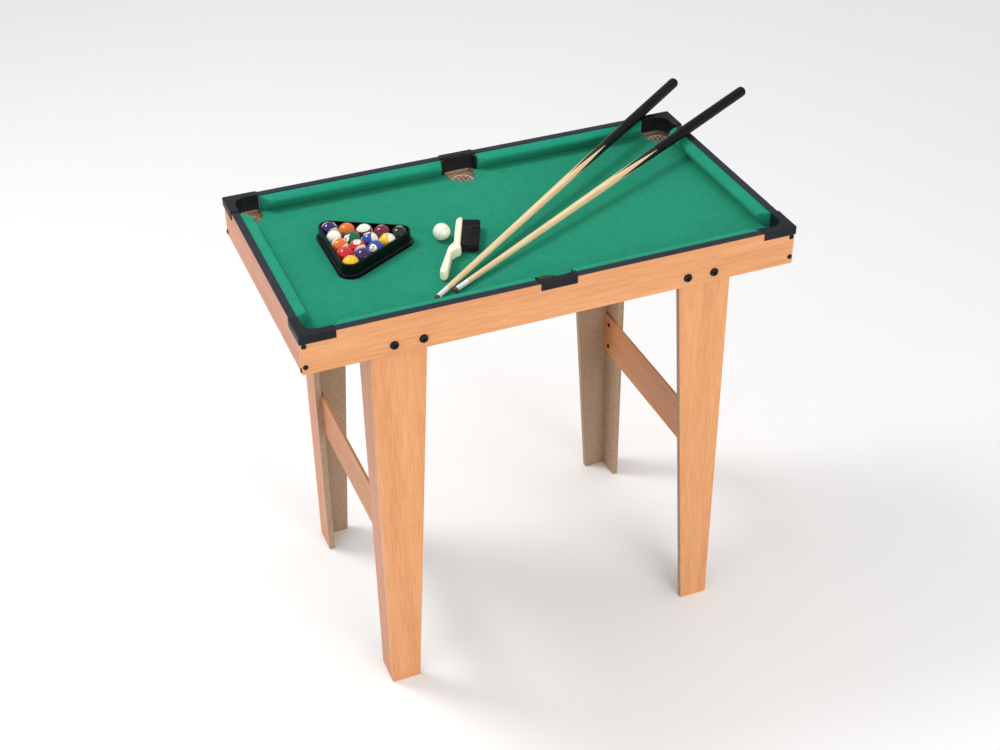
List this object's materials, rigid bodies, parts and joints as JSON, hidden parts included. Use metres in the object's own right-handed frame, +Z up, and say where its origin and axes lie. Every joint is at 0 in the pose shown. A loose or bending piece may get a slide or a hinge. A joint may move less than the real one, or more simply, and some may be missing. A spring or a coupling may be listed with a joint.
{
  "type": "mini pool table",
  "caption": "Free-standing mini pool table with felt bed, cushions, netted pockets and bolted tapered legs, with its rack, balls, cues and brush laid out on it for play.",
  "frame": {"origin": "on the floor, under the middle of the table top", "axes": "+X along the table towards the end that the cues overhang, +Y from the front to the back, +Z up"},
  "size_m": [1.0905, 0.6049, 0.8735],
  "materials": {
    "laminate": "orange beech-pattern paper foil on fibreboard, satin",
    "bed_board": "raw fibreboard",
    "felt": "green napped playing cloth",
    "trim": "dark slate plastic strip",
    "cap_plastic": "black moulded plastic, fine grain",
    "net": "white cotton string",
    "black_steel": "black oxide fasteners",
    "zinc": "zinc plated nuts",
    "rack_plastic": "black gloss plastic",
    "phenolic": "polished cast resin",
    "maple": "pale lacquered maple",
    "butt_black": "black lacquer and sleeve",
    "ferrule": "white plastic",
    "tip_leather": "brown pressed leather",
    "ivory": "ivory coloured plastic handle",
    "bristle": "black nylon bristles"
  },
  "bodies": {
    "table": {"apron_front": "laminate", "apron_back": "laminate", "apron_left": "laminate", "apron_right": "laminate", "bed_board": "bed_board", "bed_cloth": "felt", "cushion_front_left": "felt", "cushion_front_right": "felt", "cushion_back_left": "felt", "cushion_back_right": "felt", "cushion_left": "felt", "cushion_right": "felt", "cap_front_left": "cap_plastic", "cap_front_right": "cap_plastic", "cap_front_middle": "cap_plastic", "cap_back_left": "cap_plastic", "cap_back_right": "cap_plastic", "cap_back_middle": "cap_plastic", "rail_trims": "trim", "pocket_nets": "net", "leg_front_left_wide": "laminate", "leg_front_left_side": "laminate", "leg_front_right_wide": "laminate", "leg_front_right_side": "laminate", "leg_back_left_wide": "laminate", "leg_back_left_side": "laminate", "leg_back_right_wide": "laminate", "leg_back_right_side": "laminate", "stretcher_left": "laminate", "stretcher_right": "laminate", "leg_bolts": "black_steel", "leg_nuts": "zinc", "wood_screws": "black_steel"},
    "rack": {"triangle_rack": "rack_plastic"},
    "brush": {"brush_handle": "ivory", "brush_bristles": "bristle"},
    "cue_ball": {"cue_ball": "phenolic"},
    "cue_1": {"cue_1_tip": "tip_leather", "cue_1_ferrule": "ferrule", "cue_1_shaft": "maple", "cue_1_butt": "butt_black"},
    "cue_2": {"cue_2_tip": "tip_leather", "cue_2_ferrule": "ferrule", "cue_2_shaft": "maple", "cue_2_butt": "butt_black"},
    "ball_01": {"ball_01": "phenolic"},
    "ball_02": {"ball_02": "phenolic"},
    "ball_03": {"ball_03": "phenolic"},
    "ball_04": {"ball_04": "phenolic"},
    "ball_05": {"ball_05": "phenolic"},
    "ball_06": {"ball_06": "phenolic"},
    "ball_07": {"ball_07": "phenolic"},
    "ball_08": {"ball_08": "phenolic"},
    "ball_09": {"ball_09": "phenolic"},
    "ball_10": {"ball_10": "phenolic"},
    "ball_11": {"ball_11": "phenolic"},
    "ball_12": {"ball_12": "phenolic"},
    "ball_13": {"ball_13": "phenolic"},
    "ball_14": {"ball_14": "phenolic"},
    "ball_15": {"ball_15": "phenolic"}
  },
  "joints": [
    {"name": "rack_lift", "type": "slide", "parent": "table", "child": "rack", "axis": [0, 0, 1], "range_m": [0, 0.08]},
    {"name": "brush_lift", "type": "slide", "parent": "table", "child": "brush", "axis": [0, 0, 1], "range_m": [0, 0.08]},
    {"name": "cue_ball_lift", "type": "slide", "parent": "table", "child": "cue_ball", "axis": [0, 0, 1], "range_m": [0, 0.08]},
    {"name": "cue_1_lift", "type": "slide", "parent": "table", "child": "cue_1", "axis": [0, 0, 1], "range_m": [0, 0.08]},
    {"name": "cue_2_lift", "type": "slide", "parent": "table", "child": "cue_2", "axis": [0, 0, 1], "range_m": [0, 0.08]},
    {"name": "ball_01_lift", "type": "slide", "parent": "table", "child": "ball_01", "axis": [0, 0, 1], "range_m": [0, 0.08]},
    {"name": "ball_02_lift", "type": "slide", "parent": "table", "child": "ball_02", "axis": [0, 0, 1], "range_m": [0, 0.08]},
    {"name": "ball_03_lift", "type": "slide", "parent": "table", "child": "ball_03", "axis": [0, 0, 1], "range_m": [0, 0.08]},
    {"name": "ball_04_lift", "type": "slide", "parent": "table", "child": "ball_04", "axis": [0, 0, 1], "range_m": [0, 0.08]},
    {"name": "ball_05_lift", "type": "slide", "parent": "table", "child": "ball_05", "axis": [0, 0, 1], "range_m": [0, 0.08]},
    {"name": "ball_06_lift", "type": "slide", "parent": "table", "child": "ball_06", "axis": [0, 0, 1], "range_m": [0, 0.08]},
    {"name": "ball_07_lift", "type": "slide", "parent": "table", "child": "ball_07", "axis": [0, 0, 1], "range_m": [0, 0.08]},
    {"name": "ball_08_lift", "type": "slide", "parent": "table", "child": "ball_08", "axis": [0, 0, 1], "range_m": [0, 0.08]},
    {"name": "ball_09_lift", "type": "slide", "parent": "table", "child": "ball_09", "axis": [0, 0, 1], "range_m": [0, 0.08]},
    {"name": "ball_10_lift", "type": "slide", "parent": "table", "child": "ball_10", "axis": [0, 0, 1], "range_m": [0, 0.08]},
    {"name": "ball_11_lift", "type": "slide", "parent": "table", "child": "ball_11", "axis": [0, 0, 1], "range_m": [0, 0.08]},
    {"name": "ball_12_lift", "type": "slide", "parent": "table", "child": "ball_12", "axis": [0, 0, 1], "range_m": [0, 0.08]},
    {"name": "ball_13_lift", "type": "slide", "parent": "table", "child": "ball_13", "axis": [0, 0, 1], "range_m": [0, 0.08]},
    {"name": "ball_14_lift", "type": "slide", "parent": "table", "child": "ball_14", "axis": [0, 0, 1], "range_m": [0, 0.08]},
    {"name": "ball_15_lift", "type": "slide", "parent": "table", "child": "ball_15", "axis": [0, 0, 1], "range_m": [0, 0.08]}
  ]
}
